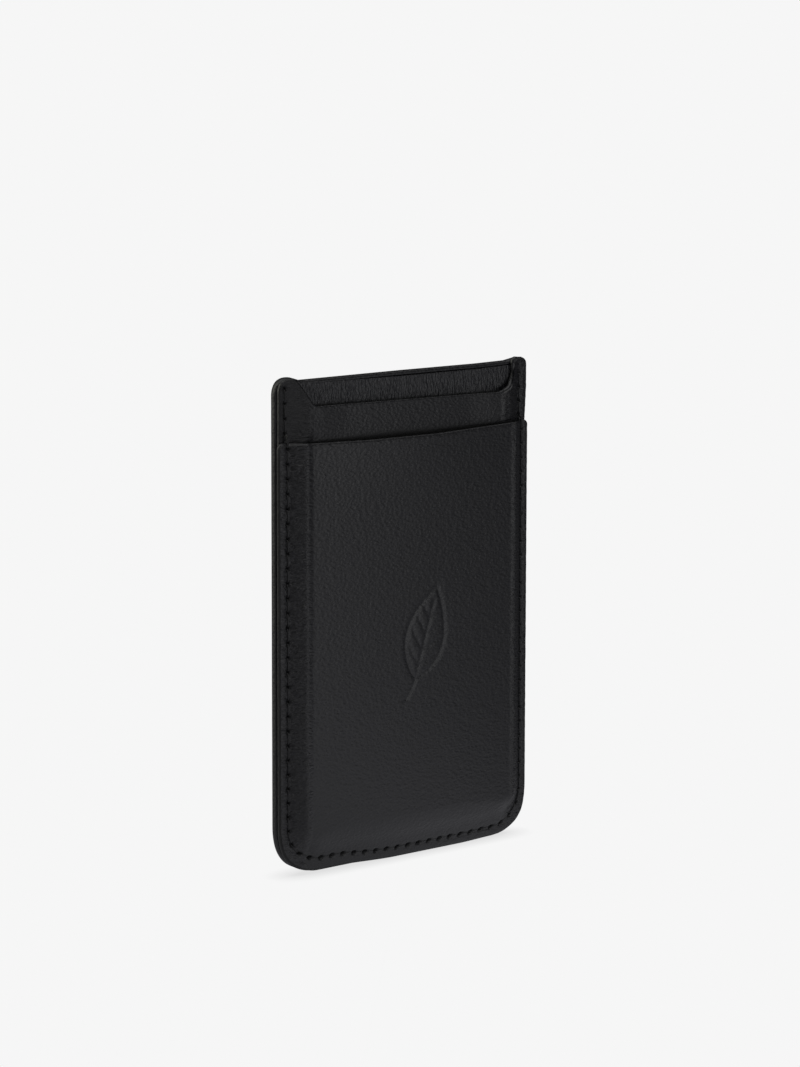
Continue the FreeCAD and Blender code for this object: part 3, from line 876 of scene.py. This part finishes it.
def makeWorld():
    # pale all round to the camera's rays; what lights the holder follows the azimuth, with a bright ceiling
    world = bpy.data.worlds.new("studio")
    bpy.context.scene.world = world
    world.use_nodes = True
    tree = world.node_tree
    tree.nodes.clear()
    direction = addNode(tree, "ShaderNodeTexCoord")
    level = levelByAzimuth(tree, direction.outputs["Generated"], studio["world"])
    above = addNode(tree, "ShaderNodeVectorMath", {
        "operation": "DOT_PRODUCT", 1: studio["overheadTowards"],
    }, {0: direction.outputs["Generated"]})
    ceiling = addNode(tree, "ShaderNodeMapRange", {
        "interpolation_type": "SMOOTHSTEP", "From Min": 0.74, "From Max": 0.96,
    }, {"Value": above.outputs["Value"]})
    lit = addNode(tree, "ShaderNodeMix", {"data_type": "RGBA"}, {"Factor": ceiling.outputs["Result"]})
    tree.links.new(level, lit.inputs[6])
    lit.inputs[7].default_value = (studio["overhead"],) * 3 + (1,)
    path = addNode(tree, "ShaderNodeLightPath")
    seen = addNode(tree, "ShaderNodeMix", {"data_type": "RGBA"}, {"Factor": path.outputs["Is Camera Ray"]})
    tree.links.new(lit.outputs[2], seen.inputs[6])
    seen.inputs[7].default_value = (studio["paper"],) * 3 + (1,)
    shown = addNode(tree, "ShaderNodeBackground", links={"Color": seen.outputs[2]})
    addNode(tree, "ShaderNodeOutputWorld", links={"Surface": shown.outputs["Background"]})


def makeFloor():
    # pale paper with a soft contact shadow to the camera's rays; to every other ray a glow by azimuth
    mesh = bpy.data.meshes.new("paper_floor")
    half = 12.0  # metres
    corners = [(-half, -half, 0), (half, -half, 0), (half, half, 0), (-half, half, 0)]
    mesh.from_pydata(corners, [], [(0, 1, 2, 3)])
    floor = bpy.data.objects.new("paper_floor", mesh)
    bpy.context.scene.collection.objects.link(floor)
    material = bpy.data.materials.new("matt white paper")
    material.use_nodes = True
    tree = material.node_tree
    tree.nodes.clear()
    coordinates = addNode(tree, "ShaderNodeTexCoord")
    fromBehind = addNode(tree, "ShaderNodeVectorMath", {
        "operation": "SUBTRACT", 1: (0, studio["fanBehind"], 0),
    }, {0: coordinates.outputs["Object"]})
    level = levelByAzimuth(tree, fromBehind.outputs["Vector"], studio["floor"])
    bounce = addNode(tree, "ShaderNodeEmission", links={"Color": level})
    nearby = addNode(tree, "ShaderNodeAmbientOcclusion", {
        "samples": 16, "Distance": studio["shadowReach"] * mm,
    })
    shade = addNode(tree, "ShaderNodeMapRange", {"From Min": 0.4, "To Min": studio["shadowLevel"]}, {
        "Value": nearby.outputs["AO"],
    })
    strength = addNode(tree, "ShaderNodeMath", {"operation": "MULTIPLY", 1: studio["paper"]}, {
        0: shade.outputs["Result"],
    })
    paper = addNode(tree, "ShaderNodeEmission", links={"Strength": strength.outputs["Value"]})
    path = addNode(tree, "ShaderNodeLightPath")
    shown = addNode(tree, "ShaderNodeMixShader", links={
        0: path.outputs["Is Camera Ray"], 1: bounce.outputs["Emission"], 2: paper.outputs["Emission"],
    })
    addNode(tree, "ShaderNodeOutputMaterial", links={"Surface": shown.outputs["Shader"]})
    mesh.materials.append(material)


def makeCamera():
    view = {
        "azimuth": -42.27, "elevation": 7.37, "roll": 0.12,
        "distance": 624.4, "right": -1.63, "up": 14.89,
        "lens": 107.5,
    }
    a, e, roll = (math.radians(view[k]) for k in ("azimuth", "elevation", "roll"))
    back = Vector((math.sin(a) * math.cos(e), -math.cos(a) * math.cos(e), math.sin(e)))
    right = Vector((math.cos(a), math.sin(a), 0))
    up = back.cross(right)
    target = Vector((0, holder["frontFlange"], 49))
    place = target + back * view["distance"] + right * view["right"] + up * view["up"]
    turned = math.cos(roll) * right + math.sin(roll) * up
    raised = -math.sin(roll) * right + math.cos(roll) * up
    data = bpy.data.cameras.new("camera")
    data.lens, data.sensor_width, data.sensor_fit = view["lens"], 36.0, "AUTO"
    data.clip_start, data.clip_end = 0.01, 100
    camera = bpy.data.objects.new("camera", data)
    axes = Matrix((turned, raised, back)).transposed().to_4x4()
    camera.matrix_world = Matrix.Translation(place * mm) @ axes
    bpy.context.scene.collection.objects.link(camera)
    bpy.context.scene.camera = camera


makeWorld()
makeFloor()
addSoftbox("key", studio["softbox"])
makeCamera()
bpy.context.scene.view_settings.view_transform = "Standard"
print("studio ready")
